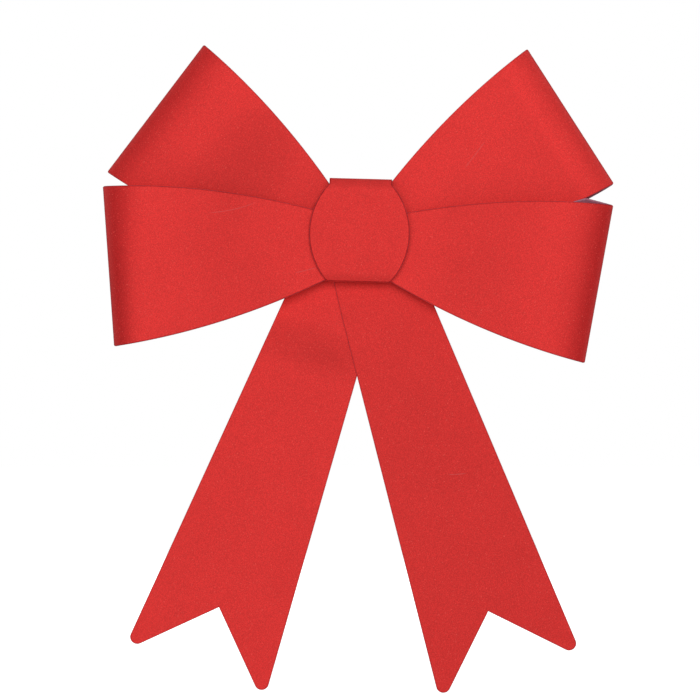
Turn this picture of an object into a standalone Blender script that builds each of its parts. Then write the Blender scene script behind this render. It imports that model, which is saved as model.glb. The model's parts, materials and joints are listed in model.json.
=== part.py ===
"""A pre-made gift bow of die-cut, velvet-faced plastic sheet.

Four folded loops and two swallow tails hang on one small rivet. A barrel-shaped band
wraps round the loops' inner ends and is stapled to itself behind them, and a twist tie
threaded through the band fastens the bow to a present.

Metres, +Z up. The bow is upright and faces -Y, with +X to its right as seen from the
front. The origin is the centre of the rivet's flat rear face, behind everything else
at the knot, so all of the stack lies at negative Y.
"""

import math

import bmesh
import bpy
from mathutils import Matrix, Vector

MM = 0.001

# Sheet, and the stack that the rivet holds, from front to back along +Y. The first
# leaf's depth is such that the rivet's rear face lies at zero.
SHEET = 0.45 * MM
GAP = 0.3 * MM
LAYER = SHEET + GAP
FIRST_LEAF_Y = -11.375 * MM
LEAVES = 8
LAST_LEAF_Y = FIRST_LEAF_Y + (LEAVES - 1) * LAYER

# Rivet, turned about the Y axis.
RIVET_HEAD_RADIUS = 4.0 * MM
RIVET_HEAD_THICK = 0.7 * MM
RIVET_SHANK_RADIUS = 1.5 * MM
RIVET_FLARE_RADIUS = 2.4 * MM
RIVET_FLARE_THICK = 0.6 * MM
RIVET_FLARE_EDGE = 0.2 * MM
RIVET_HEAD_EDGE_DEPTH = 0.3 * MM
RIVET_HEAD_EDGE_WIDTH = 0.4 * MM
RIVET_END_PLAY = 0.1 * MM
RIVET_HEAD_BACK_Y = FIRST_LEAF_Y - SHEET / 2 - GAP
HOLE_RADIUS = 1.7 * MM
WASHER_RADIUS = 4.0 * MM
WASHER_THICK = 0.5 * MM
WASHER_EDGE = 0.15 * MM
TURN_STEPS = 40
HOLE_STEPS = 24
THROUGH_LENGTH = 60.0 * MM
PLY_CUTTER_LENGTH = 6.0 * MM

# Twist tie, a flat coated ribbon with a wire along its middle.
TIE_THICK = 1.1 * MM
TIE_HEIGHT = 4.0 * MM
TIE_Z = 13.0 * MM
TIE_Y = LAST_LEAF_Y + SHEET / 2 + GAP + TIE_THICK / 2
TIE_BEND_X = 18.2 * MM
TIE_BEND_CLEARANCE = 0.95 * MM
TIE_LEAD_START = 0.65 * MM
TIE_LEAD_LENGTH = 70.0 * MM
TIE_LEAD_SWEEP = math.radians(12.0)
TIE_EDGE = 0.2 * MM
WIRE_RADIUS = 0.3 * MM
WIRE_CHANNEL_RADIUS = 0.36 * MM
WIRE_BARE_END = 1.2 * MM
WIRE_STEPS = 16

# Knot band: a strip wrapped over the top and under the bottom of the stack.
BAND_TILT = math.radians(1.5)
BAND_CENTRE = Vector((0.25 * MM, 0.0, 6.4 * MM))
BAND_TOP = 23.5 * MM
BAND_CREASE = 20.8 * MM
BAND_BOTTOM = -23.1 * MM
BAND_HALF_WIDTH = 14.0 * MM
BAND_BULGE = 8.5 * MM
BAND_FRONT_Y = RIVET_HEAD_BACK_Y - RIVET_HEAD_THICK - GAP - SHEET / 2
BAND_INNER_PLY_Y = TIE_Y + TIE_THICK / 2 + GAP + SHEET / 2
BAND_OUTER_PLY_Y = BAND_INNER_PLY_Y + LAYER
BAND_CREASE_DEPTH = 2.6 * MM
BAND_CORNER = 2.0 * MM
BAND_CORNER_STEPS = 6
BAND_FRONT_STEPS = 24
BAND_TURNED_STEP = (0.5, 0.6)
BAND_INNER_END = 18.6 * MM
BAND_INNER_ROWS = (0.75, 0.5, 0.25)
BAND_OUTER_ROWS = (16.6 * MM, 13.6 * MM, 2.0 * MM, -7.0 * MM, -16.0 * MM)

# Staple that closes the band, through both of its plies.
STAPLE_Z = 21.5 * MM
STAPLE_HALF_CROWN = 5.0 * MM
STAPLE_WIRE_RADIUS = 0.25 * MM
STAPLE_CLINCH = 3.2 * MM
STAPLE_BEND = 0.5 * MM
STAPLE_BEND_STEPS = 4
STAPLE_PLAY = 0.1 * MM
STAPLE_HOLE_RADIUS = 0.4 * MM

# Tails, both cut to one outline. Each hangs from the rivet, near its rounded top end.
TAIL_TOP = 8.0 * MM
TAIL_SHOULDER_RADIUS = 8.0 * MM
TAIL_TIP_REACH = 200.3 * MM
TAIL_TIP_HALF_SPREAD = 29.9 * MM
TAIL_TIP_RADIUS = 3.15 * MM
TAIL_NOTCH_REACH = 174.6 * MM
TAIL_NOTCH_FLAT = (1.2 * MM, 0.48 * MM)
TAIL_TAPER = math.radians(4.3)
TAIL_AXIS_OFFSET = 2.6 * MM
TAIL_ARC_STEPS = 10
RIGHT_TAIL_Y = BAND_OUTER_PLY_Y + LAYER
LEFT_TAIL_Y = RIGHT_TAIL_Y + LAYER
LEFT_TAIL_LEAN = math.radians(20.3)
RIGHT_TAIL_LEAN = math.radians(-18.6)
WASHER_FRONT_Y = LEFT_TAIL_Y + SHEET / 2 + GAP

# Loops, all cut to one petal outline and folded over at their widest place.
PETAL_HALF_WIDTH = 36.0 * MM
PETAL_CURVE = 0.0016 / MM
TONGUE_HALF_WIDTH = 6.5 * MM
TONGUE_END = 6.5 * MM
TONGUE_ROUND = 0.9
FLAT_REACH = 19.0 * MM
LEAF_STEPS = 20
FOLD_STEPS = 16
TONGUE_STEPS = 14

# name: direction of the loop's middle line from +X, its reach to the fold, how far
# that line passes above the rivet, the slant of the fold, how fast the petal tapers,
# how far out its neck ends, the leaf layers, how far behind the first leaf's layer the
# front and back leaves lie at the fold, and how long the rounding of the fold is.
LOOPS = {
    "upper_left_loop": dict(
        direction=math.radians(142.8), reach=110.2 * MM, offset=6.3 * MM,
        slant=0.0, taper=0.058, neck=27.0 * MM, layers=(4, 5),
        front=3.3 * MM, back=15.0 * MM, rounding=18.0 * MM,
    ),
    "upper_right_loop": dict(
        direction=math.radians(32.7), reach=111.6 * MM, offset=-2.6 * MM,
        slant=0.0, taper=0.074, neck=27.0 * MM, layers=(6, 7),
        front=4.7 * MM, back=15.6 * MM, rounding=15.0 * MM,
    ),
    "lower_left_loop": dict(
        direction=math.radians(185.65), reach=112.8 * MM, offset=-1.5 * MM,
        slant=math.radians(1.6), taper=0.058, neck=16.5 * MM, layers=(0, 1),
        front=-10.5 * MM, back=0.4 * MM, rounding=9.5 * MM,
    ),
    "lower_right_loop": dict(
        direction=math.radians(-10.3), reach=109.1 * MM, offset=1.9 * MM,
        slant=0.0, taper=0.075, neck=17.0 * MM, layers=(2, 3),
        front=-10.0 * MM, back=1.4 * MM, rounding=9.5 * MM,
    ),
}

RED = (0.72, 0.045, 0.04, 1.0)
STEEL = (0.62, 0.63, 0.65, 1.0)
TIE_GREEN = (0.03, 0.16, 0.06, 1.0)


def clear_scene():
    for obj in list(bpy.data.objects):
        bpy.data.objects.remove(obj, do_unlink=True)


def new_collection(name):
    collection = bpy.data.collections.new(name)
    bpy.context.scene.collection.children.link(collection)
    return collection


def new_material(name, colour, roughness, metallic):
    material = bpy.data.materials.new(name)
    material.use_nodes = True
    shader = material.node_tree.nodes["Principled BSDF"]
    shader.inputs["Base Color"].default_value = colour
    shader.inputs["Roughness"].default_value = roughness
    shader.inputs["Metallic"].default_value = metallic
    return material


def velvet(name):
    return new_material(name + "_velvet", RED, 0.85, 0.0)


def steel(name):
    return new_material(name + "_steel", STEEL, 0.35, 1.0)


def plastic(name):
    return new_material(name + "_plastic", TIE_GREEN, 0.45, 0.0)


def new_object(name, mesh, material, collection, sharp_deg=30.0):
    obj = bpy.data.objects.new(name, mesh)
    mesh.materials.append(material)
    mesh.shade_smooth()
    mesh.set_sharp_from_angle(angle=math.radians(sharp_deg))
    collection.objects.link(obj)
    return obj


def mesh_from_bmesh(name, shape):
    mesh = bpy.data.meshes.new(name)
    bmesh.ops.recalc_face_normals(shape, faces=shape.faces)
    shape.to_mesh(mesh)
    shape.free()
    return mesh


def leaf_y(layer):
    """Depth of one leaf's middle plane where it lies in the stack."""
    return FIRST_LEAF_Y + layer * LAYER


def smooth_step(t):
    t = min(max(t, 0.0), 1.0)
    return t * t * (3.0 - 2.0 * t)


def strip_mesh(name, centre_line, place):
    """A strip one face wide along a centre line, as an open surface.

    place(point, side) gives the strip's edge beside a point of the line, on side -1 or +1.
    """
    shape = bmesh.new()
    bmesh.ops.create_grid(shape, x_segments=len(centre_line) - 1, y_segments=1, size=1.0)
    for vert in shape.verts:
        row = round((vert.co.x + 1.0) / 2.0 * (len(centre_line) - 1))
        side = 1.0 if vert.co.y > 0.0 else -1.0
        vert.co = place(centre_line[row], side)
    return mesh_from_bmesh(name, shape)


def thicken(obj):
    solidify = obj.modifiers.new("sheet thickness", "SOLIDIFY")
    solidify.thickness = SHEET
    solidify.offset = 0.0
    solidify.use_even_offset = True


def add_cutter(name, mesh, cutters):
    cutter = bpy.data.objects.new(name, mesh)
    cutter.hide_render = True
    cutter.display_type = "WIRE"
    cutters.objects.link(cutter)
    return cutter


def rod_mesh(name, radius, length, steps):
    """A cylinder along X, centred on the origin."""
    shape = bmesh.new()
    bmesh.ops.create_cone(
        shape, cap_ends=True, segments=steps, radius1=radius, radius2=radius, depth=length
    )
    bmesh.ops.rotate(shape, verts=shape.verts, matrix=Matrix.Rotation(math.pi / 2, 3, "Y"))
    return mesh_from_bmesh(name, shape)


def hole_cutter(name, centre, radius, length, cutters):
    """A rod along Y."""
    cutter = add_cutter(name, rod_mesh(name, radius, length, HOLE_STEPS), cutters)
    cutter.rotation_euler.z = math.pi / 2
    cutter.location = centre
    return cutter


def cut(obj, cutter):
    boolean = obj.modifiers.new("cut " + cutter.name, "BOOLEAN")
    boolean.operation = "DIFFERENCE"
    boolean.solver = "EXACT"
    boolean.object = cutter


def petal_edges(loop, along):
    """Half the petal's width, and the offset of its middle line, at a distance out.

    Inside the knot the petal necks down to a round-ended tongue centred on the rivet.
    """
    from_fold = loop["reach"] - along
    tapered = PETAL_HALF_WIDTH - loop["taper"] * from_fold - PETAL_CURVE * from_fold**2
    neck = smooth_step(along / loop["neck"])
    half_width = TONGUE_HALF_WIDTH + neck * (tapered - TONGUE_HALF_WIDTH)
    if along < 0.0:
        half_width *= math.sqrt(1.0 - TONGUE_ROUND * (along / TONGUE_END) ** 2)
    return half_width, neck * loop["offset"]


def leaf_points(level, depth_at_fold, fold_start):
    """One leaf's centre line as (along, depth), from its tongue out to its fold."""
    points = []
    for i in range(TONGUE_STEPS):
        share = i / TONGUE_STEPS
        points.append((-TONGUE_END + share * (TONGUE_END + FLAT_REACH), level))
    for i in range(LEAF_STEPS):
        share = i / LEAF_STEPS
        along = FLAT_REACH + share * (fold_start - FLAT_REACH)
        points.append((along, level + smooth_step(share) * (depth_at_fold - level)))
    return points


def fold_points(front, back, fold_start, rounding):
    """The half ellipse that joins the front leaf to the back leaf."""
    middle = (front + back) / 2
    half_depth = (back - front) / 2
    points = []
    for i in range(FOLD_STEPS + 1):
        turn = math.pi * i / FOLD_STEPS
        along = fold_start + rounding * math.sin(turn)
        points.append((along, middle - half_depth * math.cos(turn)))
    return points


def build_loop(name, loop, rivet_hole, parts):
    """A petal folded over, with its two inner tongues on the rivet.

    Its own X runs out along the petal, and it turns about its own Y, the rivet.
    """
    fold_start = loop["reach"] - loop["rounding"]
    front_layer, back_layer = loop["layers"]
    front = FIRST_LEAF_Y + loop["front"]
    back = FIRST_LEAF_Y + loop["back"]
    front_leaf = leaf_points(leaf_y(front_layer), front, fold_start)
    back_leaf = leaf_points(leaf_y(back_layer), back, fold_start)
    fold = fold_points(front, back, fold_start, loop["rounding"])
    line = front_leaf + fold + back_leaf[::-1]
    slant = math.tan(loop["slant"])

    def place(point, side):
        along, depth = point
        half_width, offset = petal_edges(loop, along)
        outward = max(along, 0.0) / loop["reach"]
        shift = slant * side * half_width * outward**2
        return Vector((along + shift, depth, offset + side * half_width))

    mesh = strip_mesh(name, line, place)
    obj = new_object(name, mesh, velvet(name), parts)
    obj.rotation_euler.y = -loop["direction"]
    thicken(obj)
    cut(obj, rivet_hole)
    return obj


def arc_points(centre, radius, start, end, steps):
    """Points on an arc, with angles measured from +X towards +Y."""
    points = []
    for i in range(steps + 1):
        angle = start + (end - start) * i / steps
        points.append(centre + radius * Vector((math.cos(angle), math.sin(angle))))
    return points


def tail_half_outline():
    """One side of a tail as (across, down), from the top end to the notch."""
    tip = Vector((TAIL_TIP_HALF_SPREAD, TAIL_TIP_REACH))
    edge_at_tip = tip + TAIL_TIP_RADIUS * Vector((math.cos(TAIL_TAPER), -math.sin(TAIL_TAPER)))
    drop = edge_at_tip.y + TAIL_TOP
    top_half_width = edge_at_tip.x - drop * math.tan(TAIL_TAPER)
    shoulder = TAIL_SHOULDER_RADIUS
    notch = Vector((0.0, TAIL_NOTCH_REACH))
    to_tip = tip - notch
    # The notch's straight side touches the round of the tip.
    slope = math.atan2(to_tip.y, to_tip.x)
    lean = math.asin(TAIL_TIP_RADIUS / to_tip.length)
    side_angle = slope + lean
    points = [Vector((0.0, -TAIL_TOP))]
    points += arc_points(
        Vector((top_half_width - shoulder, -TAIL_TOP + shoulder)),
        shoulder, -math.pi / 2, 0.0, TAIL_ARC_STEPS,
    )
    points += arc_points(
        tip, TAIL_TIP_RADIUS, -TAIL_TAPER, side_angle + math.pi / 2, TAIL_ARC_STEPS
    )
    side = Vector((math.cos(side_angle), math.sin(side_angle)))
    # The notch ends in a small flat, not in a point.
    slant_from_notch, flat_depth = TAIL_NOTCH_FLAT
    points.append(notch + slant_from_notch * side)
    points.append(notch + Vector((0.0, flat_depth)))
    return points


def outline_mesh(name, outline, thickness):
    """A flat piece in its own XZ plane, cut to a closed outline."""
    curve = bpy.data.curves.new(name, "CURVE")
    curve.dimensions = "2D"
    curve.fill_mode = "BOTH"
    curve.extrude = thickness / 2
    spline = curve.splines.new("POLY")
    spline.points.add(len(outline) - 1)
    for point, (x, y) in zip(spline.points, outline):
        point.co = (x, y, 0.0, 1.0)
    spline.use_cyclic_u = True
    flat = bpy.data.objects.new(name + "_outline", curve)
    bpy.context.scene.collection.objects.link(flat)
    evaluated = flat.evaluated_get(bpy.context.evaluated_depsgraph_get())
    mesh = bpy.data.meshes.new_from_object(evaluated)
    bpy.data.objects.remove(flat, do_unlink=True)
    shape = bmesh.new()
    shape.from_mesh(mesh)
    bpy.data.meshes.remove(mesh)
    bmesh.ops.remove_doubles(shape, verts=shape.verts, dist=0.001 * MM)
    bmesh.ops.rotate(shape, verts=shape.verts, matrix=Matrix.Rotation(math.pi / 2, 3, "X"))
    return mesh_from_bmesh(name, shape)


def build_tail(name, lean, axis_offset, depth, rivet_hole, parts):
    """A swallow-tailed blade that turns about the rivet on its own Y."""
    half = tail_half_outline()
    right = [(axis_offset + p.x, -p.y) for p in half]
    left = [(axis_offset - p.x, -p.y) for p in reversed(half[1:])]
    obj = new_object(name, outline_mesh(name, right + left, SHEET), velvet(name), parts)
    obj.location.y = depth
    obj.rotation_euler.y = lean
    cut(obj, rivet_hole)
    return obj


def band_line():
    """The band's centre line as (depth, height), from its inner end to its outer end."""
    bottom = BAND_BOTTOM + SHEET / 2
    top = BAND_TOP - SHEET / 2
    corner = BAND_CORNER
    steps = BAND_CORNER_STEPS
    line = [(BAND_INNER_PLY_Y, BAND_INNER_END)]
    for share in BAND_INNER_ROWS:
        line.append((BAND_INNER_PLY_Y, share * BAND_INNER_END + (1 - share) * bottom))
    centre = Vector((BAND_INNER_PLY_Y - corner, bottom + corner))
    line += [tuple(p) for p in arc_points(centre, corner, 0.0, -math.pi / 2, steps)]
    centre = Vector((BAND_FRONT_Y + corner, bottom + corner))
    line += [tuple(p) for p in arc_points(centre, corner, -math.pi / 2, -math.pi, steps)]
    low = bottom + corner
    for i in range(1, BAND_FRONT_STEPS + 1):
        line.append((BAND_FRONT_Y, low + (BAND_CREASE - low) * i / BAND_FRONT_STEPS))
    # Above the crease the strip turns over, away from the front.
    back_share, up_share = BAND_TURNED_STEP
    turned_height = BAND_CREASE + up_share * (top - BAND_CREASE)
    line.append((BAND_FRONT_Y + back_share * BAND_CREASE_DEPTH, turned_height))
    line.append((BAND_FRONT_Y + BAND_CREASE_DEPTH, top))
    centre = Vector((BAND_OUTER_PLY_Y - corner, top - corner))
    line += [tuple(p) for p in arc_points(centre, corner, math.pi / 2, 0.0, steps)]
    line += [(BAND_OUTER_PLY_Y, height) for height in BAND_OUTER_ROWS]
    return line


def band_half_width(depth, height):
    """The front face bulges to a barrel, and the rest of the strip is straight."""
    if depth > BAND_FRONT_Y + BAND_CORNER / 2:
        return BAND_HALF_WIDTH
    half_chord = (BAND_CREASE - BAND_BOTTOM) / 2
    middle = (BAND_CREASE + BAND_BOTTOM) / 2
    radius = (half_chord**2 + BAND_BULGE**2) / (2 * BAND_BULGE)
    away = min(abs(height - middle), half_chord)
    return BAND_HALF_WIDTH + math.sqrt(radius**2 - away**2) - (radius - BAND_BULGE)


def rear_ply_holes(cutters):
    """Rods through the band's two rear plies only: one for the rivet, two for the staple."""
    middle_y = (BAND_INNER_PLY_Y + BAND_OUTER_PLY_Y) / 2
    holes = [
        hole_cutter(
            "band_rivet_hole", (0.0, middle_y, 0.0), HOLE_RADIUS, PLY_CUTTER_LENGTH, cutters
        )
    ]
    for name, side in (("staple_hole_left", -1.0), ("staple_hole_right", 1.0)):
        x = side * STAPLE_HALF_CROWN * math.cos(BAND_TILT)
        z = STAPLE_Z - side * STAPLE_HALF_CROWN * math.sin(BAND_TILT)
        centre = (x, middle_y, z)
        holes.append(hole_cutter(name, centre, STAPLE_HOLE_RADIUS, PLY_CUTTER_LENGTH, cutters))
    return holes


def build_knot_band(parts, cutters):
    """The barrel-shaped strip, wrapped right round with its ends overlapping behind."""

    def place(point, side):
        depth, height = point
        return Vector((side * band_half_width(depth, height), depth, height))

    mesh = strip_mesh("knot_band", band_line(), place)
    obj = new_object("knot_band", mesh, velvet("knot_band"), parts)
    obj.location = BAND_CENTRE
    obj.rotation_euler.y = BAND_TILT
    thicken(obj)
    for hole in rear_ply_holes(cutters):
        cut(obj, hole)
    return obj


def turned_object(name, profile, material, parts):
    """A closed profile of (radius, depth) points turned about the Y axis."""
    shape = bmesh.new()
    verts = [shape.verts.new((radius, depth, 0.0)) for radius, depth in profile]
    for first, second in zip(verts, verts[1:]):
        shape.edges.new((first, second))
    mesh = bpy.data.meshes.new(name)
    shape.to_mesh(mesh)
    shape.free()
    obj = bpy.data.objects.new(name, mesh)
    mesh.materials.append(material)
    screw = obj.modifiers.new("turn", "SCREW")
    screw.axis = "Y"
    screw.steps = TURN_STEPS
    screw.render_steps = TURN_STEPS
    screw.use_merge_vertices = True
    screw.merge_threshold = 0.001 * MM
    screw.use_normal_calculate = True
    parts.objects.link(obj)
    return obj


def build_rivet(parts):
    head_front = RIVET_HEAD_BACK_Y - RIVET_HEAD_THICK
    washer_back = WASHER_FRONT_Y + WASHER_THICK
    flare_front = washer_back + RIVET_END_PLAY
    end = flare_front + RIVET_FLARE_THICK
    profile = [
        (0.0, end),
        (RIVET_FLARE_RADIUS - RIVET_FLARE_EDGE, end),
        (RIVET_FLARE_RADIUS, end - RIVET_FLARE_EDGE),
        (RIVET_FLARE_RADIUS, flare_front),
        (RIVET_SHANK_RADIUS, flare_front),
        (RIVET_SHANK_RADIUS, RIVET_HEAD_BACK_Y),
        (RIVET_HEAD_RADIUS, RIVET_HEAD_BACK_Y),
        (RIVET_HEAD_RADIUS, head_front + RIVET_HEAD_EDGE_DEPTH),
        (RIVET_HEAD_RADIUS - RIVET_HEAD_EDGE_WIDTH, head_front),
        (0.0, head_front),
    ]
    return turned_object("centre_rivet", profile, steel("centre_rivet"), parts)


def build_washer(parts):
    back = WASHER_FRONT_Y + WASHER_THICK
    profile = [
        (HOLE_RADIUS, WASHER_FRONT_Y),
        (WASHER_RADIUS, WASHER_FRONT_Y),
        (WASHER_RADIUS, back - WASHER_EDGE),
        (WASHER_RADIUS - WASHER_EDGE, back),
        (HOLE_RADIUS, back),
        (HOLE_RADIUS, WASHER_FRONT_Y),
    ]
    return turned_object("rivet_washer", profile, steel("rivet_washer"), parts)


def build_staple(parts):
    """Crown behind the band, legs through both plies, points clinched inside it."""
    crown_y = BAND_OUTER_PLY_Y + SHEET / 2 + STAPLE_PLAY + STAPLE_WIRE_RADIUS
    clinch_y = BAND_INNER_PLY_Y - SHEET / 2 - STAPLE_PLAY - STAPLE_WIRE_RADIUS
    leg = STAPLE_HALF_CROWN
    bend = STAPLE_BEND
    inside = Vector((leg - bend, clinch_y + bend))
    outside = Vector((leg - bend, crown_y - bend))
    half = [(leg - STAPLE_CLINCH, clinch_y)]
    half += [tuple(p) for p in arc_points(inside, bend, -math.pi / 2, 0.0, STAPLE_BEND_STEPS)]
    half += [tuple(p) for p in arc_points(outside, bend, 0.0, math.pi / 2, STAPLE_BEND_STEPS)]
    path = half + [(-x, y) for x, y in reversed(half)]
    curve = bpy.data.curves.new("band_staple", "CURVE")
    curve.dimensions = "3D"
    curve.bevel_depth = STAPLE_WIRE_RADIUS
    curve.bevel_resolution = 2
    curve.use_fill_caps = True
    spline = curve.splines.new("POLY")
    spline.points.add(len(path) - 1)
    for point, (x, y) in zip(spline.points, path):
        point.co = (x, y, 0.0, 1.0)
    curve.materials.append(steel("band_staple"))
    obj = bpy.data.objects.new("band_staple", curve)
    obj.location.z = STAPLE_Z
    obj.rotation_euler.y = BAND_TILT
    parts.objects.link(obj)
    return obj


def build_tie_piece(name, start, end, bare_start, bare_end, pivot, angle, parts, cutters):
    """A length of tie along its own X, as a coated ribbon and the wire inside it.

    Both objects sit at the pivot and turn about their own Z by the angle.
    """
    length = end - start
    middle = (start + end) / 2
    shape = bmesh.new()
    bmesh.ops.create_cube(shape, size=1.0)
    bmesh.ops.scale(shape, verts=shape.verts, vec=(length, TIE_THICK, TIE_HEIGHT))
    bmesh.ops.translate(shape, verts=shape.verts, vec=(middle, 0.0, 0.0))
    coating_name = name + "_coating"
    mesh = mesh_from_bmesh(coating_name, shape)
    coating = new_object(coating_name, mesh, plastic(coating_name), parts)
    bevel = coating.modifiers.new("soft edges", "BEVEL")
    bevel.width = TIE_EDGE
    bevel.segments = 2
    channel_mesh = rod_mesh(name + "_channel", WIRE_CHANNEL_RADIUS, 2 * length, WIRE_STEPS)
    channel = add_cutter(name + "_channel", channel_mesh, cutters)
    cut(coating, channel)
    wire_name = name + "_wire"
    wire_mesh = rod_mesh(wire_name, WIRE_RADIUS, length + bare_start + bare_end, WIRE_STEPS)
    wire_middle = middle + (bare_end - bare_start) / 2
    wire_mesh.transform(Matrix.Translation((wire_middle, 0.0, 0.0)))
    wire = new_object(wire_name, wire_mesh, steel(wire_name), parts)
    for obj in (coating, wire, channel):
        obj.location = pivot
        obj.rotation_euler.z = angle
    channel.location = Vector(pivot) + Matrix.Rotation(angle, 3, "Z") @ Vector((middle, 0, 0))


def build_tie(parts, cutters):
    reach = TIE_BEND_X - TIE_BEND_CLEARANCE
    centre = (0.0, TIE_Y, TIE_Z)
    build_tie_piece("tie_middle", -reach, reach, 0.0, 0.0, centre, 0.0, parts, cutters)
    for name, side in (("tie_right", 1.0), ("tie_left", -1.0)):
        pivot = (side * TIE_BEND_X, TIE_Y, TIE_Z)
        angle = TIE_LEAD_SWEEP if side > 0 else math.pi - TIE_LEAD_SWEEP
        build_tie_piece(
            name, TIE_LEAD_START, TIE_LEAD_LENGTH, 0.0, WIRE_BARE_END,
            pivot, angle, parts, cutters,
        )


def main():
    clear_scene()
    parts = new_collection("gift_bow")
    cutters = new_collection("cutters")
    rivet_hole = hole_cutter("rivet_hole", (0.0, 0.0, 0.0), HOLE_RADIUS, THROUGH_LENGTH, cutters)
    for name, loop in LOOPS.items():
        build_loop(name, loop, rivet_hole, parts)
    build_tail("left_tail", LEFT_TAIL_LEAN, -TAIL_AXIS_OFFSET, LEFT_TAIL_Y, rivet_hole, parts)
    build_tail("right_tail", RIGHT_TAIL_LEAN, TAIL_AXIS_OFFSET, RIGHT_TAIL_Y, rivet_hole, parts)
    build_knot_band(parts, cutters)
    build_rivet(parts)
    build_washer(parts)
    build_staple(parts)
    build_tie(parts, cutters)


main()
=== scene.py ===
"""Looks for a gift bow of velvet-faced sheet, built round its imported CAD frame.

The frame is in metres, with +Z up and the bow's front facing -Y. Its origin is the
centre of the rivet's rear face. Lengths below are in metres unless they say otherwise.
"""

import json
import math

import bmesh
import bpy
import numpy as np
from mathutils import Matrix, Vector


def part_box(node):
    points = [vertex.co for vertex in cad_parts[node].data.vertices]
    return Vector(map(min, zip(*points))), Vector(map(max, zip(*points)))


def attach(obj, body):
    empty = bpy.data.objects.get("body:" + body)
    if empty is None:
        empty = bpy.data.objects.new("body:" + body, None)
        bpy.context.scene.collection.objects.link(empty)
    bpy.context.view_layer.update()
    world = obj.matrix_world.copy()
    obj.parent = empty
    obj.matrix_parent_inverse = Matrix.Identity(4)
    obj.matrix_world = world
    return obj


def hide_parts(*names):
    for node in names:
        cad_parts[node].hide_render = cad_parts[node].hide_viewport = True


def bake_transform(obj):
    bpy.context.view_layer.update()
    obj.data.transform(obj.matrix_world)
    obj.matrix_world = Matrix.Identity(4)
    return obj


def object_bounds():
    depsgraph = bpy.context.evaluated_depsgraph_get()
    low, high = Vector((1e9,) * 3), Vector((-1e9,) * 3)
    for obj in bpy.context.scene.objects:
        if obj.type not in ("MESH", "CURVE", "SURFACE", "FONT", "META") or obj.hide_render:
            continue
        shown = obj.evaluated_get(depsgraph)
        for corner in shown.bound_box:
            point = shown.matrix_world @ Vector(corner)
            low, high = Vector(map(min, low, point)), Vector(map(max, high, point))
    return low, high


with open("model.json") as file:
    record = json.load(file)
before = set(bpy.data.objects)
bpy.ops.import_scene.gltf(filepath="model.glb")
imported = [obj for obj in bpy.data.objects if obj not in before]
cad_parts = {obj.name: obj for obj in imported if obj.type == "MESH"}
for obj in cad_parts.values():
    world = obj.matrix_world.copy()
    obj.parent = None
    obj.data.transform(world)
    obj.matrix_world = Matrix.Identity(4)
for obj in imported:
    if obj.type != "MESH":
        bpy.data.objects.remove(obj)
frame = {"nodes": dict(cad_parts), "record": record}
cad_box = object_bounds()

MM = 0.001

# Sheet, and where the stack of leaves lies behind the rivet's head.
SHEET = 0.45 * MM
GAP = 0.3 * MM
LAYER = SHEET + GAP
RIVET_HEAD_THICK = 0.7 * MM
FIRST_LEAF_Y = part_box("centre_rivet")[0].y + RIVET_HEAD_THICK + GAP + SHEET / 2
EDGE_ROUND = 0.1 * MM
SHARP_SHEET = math.radians(50.0)

# Holes of (radius, centre, length), cut along Y.
HOLE_RADIUS = 1.7 * MM
HOLE_STEPS = 32
RIVET_HOLE = (HOLE_RADIUS, (0.0, 0.0, 0.0), 60.0 * MM)
PLY_HOLE_LENGTH = 6.0 * MM
STAPLE_HOLE_RADIUS = 0.4 * MM
STAPLE_HALF = 5.0 * MM

# Loops.
PETAL_HALF_WIDTH = 36.0 * MM
PETAL_CURVE = 0.0016 / MM
TONGUE_HALF_WIDTH = 6.5 * MM
TONGUE_END = 6.5 * MM
TONGUE_ROUND = 0.9
FLAT_REACH = 19.0 * MM
LOOP_STEP = 1.4 * MM
FOLD_STEPS = 48
FOLD_CORNER = 0.6 * MM
LOOP_COLUMNS = 44

# How far from the fold a flare reaches, in lengths of the fold's rounding.
FLARE_REACH = 5.0

# Direction from +X, reach of the fold, offset of the middle line above the rivet, taper,
# neck length, leaf layers, depths of the front and back leaves at the fold, and length of
# the fold's rounding. Some loops also have:
# - slant, an angle of the fold;
# - flare, how much wider the rounding grows towards the flare_side;
# - peek, where the back leaf stands proud of the front leaf's edge: the side, the height,
#   the distances from the fold of its peak and its end, and the power of its rise.
LOOPS = {
    "upper_left_loop": dict(
        direction=math.radians(142.8), reach=110.2 * MM, offset=6.3 * MM, taper=0.058,
        neck=27.0 * MM, layers=(4, 5), front=3.3 * MM, back=15.0 * MM, rounding=19.0 * MM,
    ),
    "upper_right_loop": dict(
        direction=math.radians(32.7), reach=111.6 * MM, offset=-2.6 * MM, taper=0.074,
        neck=27.0 * MM, layers=(6, 7), front=4.7 * MM, back=15.6 * MM, rounding=15.0 * MM,
        peek=dict(side=-1, height=1.2 * MM, peak_at=25.0 * MM, end=62.0 * MM, power=0.5),
    ),
    "lower_left_loop": dict(
        direction=math.radians(185.65), reach=112.8 * MM, offset=-1.5 * MM, taper=0.058,
        neck=16.5 * MM, layers=(0, 1), front=-10.5 * MM, back=0.4 * MM, rounding=13.5 * MM,
        slant=math.radians(1.6), flare=0.55, flare_side=-1,
    ),
    "lower_right_loop": dict(
        direction=math.radians(-10.3), reach=109.1 * MM, offset=1.9 * MM, taper=0.075,
        neck=17.0 * MM, layers=(2, 3), front=-10.0 * MM, back=1.4 * MM, rounding=20.0 * MM,
        peek=dict(side=1, height=2.3 * MM, peak_at=12.5 * MM, end=18.5 * MM, power=1.0),
    ),
}

# Tails.
TAIL_TOP = 8.0 * MM
TAIL_SHOULDER = 8.0 * MM
TAIL_TIP_REACH = 200.3 * MM
TAIL_TIP_HALF_SPREAD = 29.9 * MM
TAIL_TIP_RADIUS = 3.15 * MM
TAIL_NOTCH_REACH = 174.9 * MM
TAIL_TAPER = math.radians(4.3)
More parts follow.
